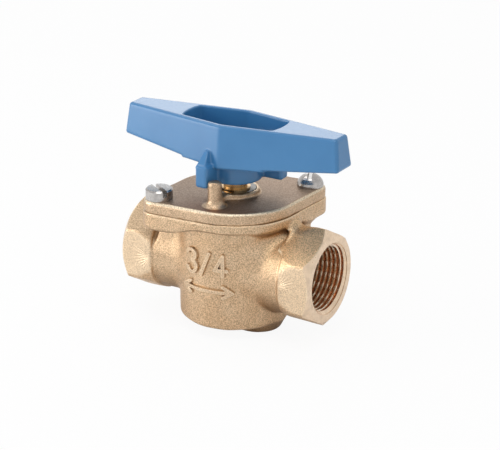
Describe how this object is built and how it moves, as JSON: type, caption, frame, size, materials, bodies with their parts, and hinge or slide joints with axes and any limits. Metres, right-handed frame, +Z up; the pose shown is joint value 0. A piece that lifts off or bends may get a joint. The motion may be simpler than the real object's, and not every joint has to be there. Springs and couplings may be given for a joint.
{
  "type": "plug valve",
  "caption": "Cast brass quarter-turn plug valve with threaded hexagon ports, a bolted oval cover and a blue bar handle that stops against a pin on the cover.",
  "frame": {"origin": "on the underside of the base pad, below the stem axis", "axes": "+X along the ports to the port on the right of the picture, +Y to the back, away from the stop pin, +Z up along the stem"},
  "size_m": [0.0904, 0.0524, 0.0795],
  "materials": {
    "cast_brass": "sand-cast, fine grain, unpolished",
    "turned_brass": "turned, bright",
    "zinc_steel": "zinc plated",
    "white_ptfe": "smooth, white",
    "black_rubber": "smooth, black",
    "blue_plastic": "moulded, satin"
  },
  "bodies": {
    "housing": {"valve_body": "cast_brass", "cover": "cast_brass", "cover_o_ring": "black_rubber", "cover_screw_left": "zinc_steel", "cover_screw_right": "zinc_steel", "lower_bush": "white_ptfe", "lower_thrust_washer": "white_ptfe", "seat_ring_left": "white_ptfe", "seat_ring_right": "white_ptfe", "seat_o_ring_left": "black_rubber", "seat_o_ring_right": "black_rubber", "stem_thrust_washer": "white_ptfe", "stem_bush": "white_ptfe", "gland_washer": "turned_brass"},
    "spindle": {"plug": "turned_brass", "stem": "turned_brass", "stem_o_ring_lower": "black_rubber", "stem_o_ring_upper": "black_rubber", "retaining_ring": "zinc_steel", "handle": "blue_plastic", "handle_washer": "zinc_steel", "handle_screw": "zinc_steel"}
  },
  "joints": [
    {"name": "handle_turn", "type": "hinge", "parent": "housing", "child": "spindle", "pos_m": [0, 0, 0.0569], "axis": [0, 0, 1], "range_deg": [-90, 0]}
  ]
}
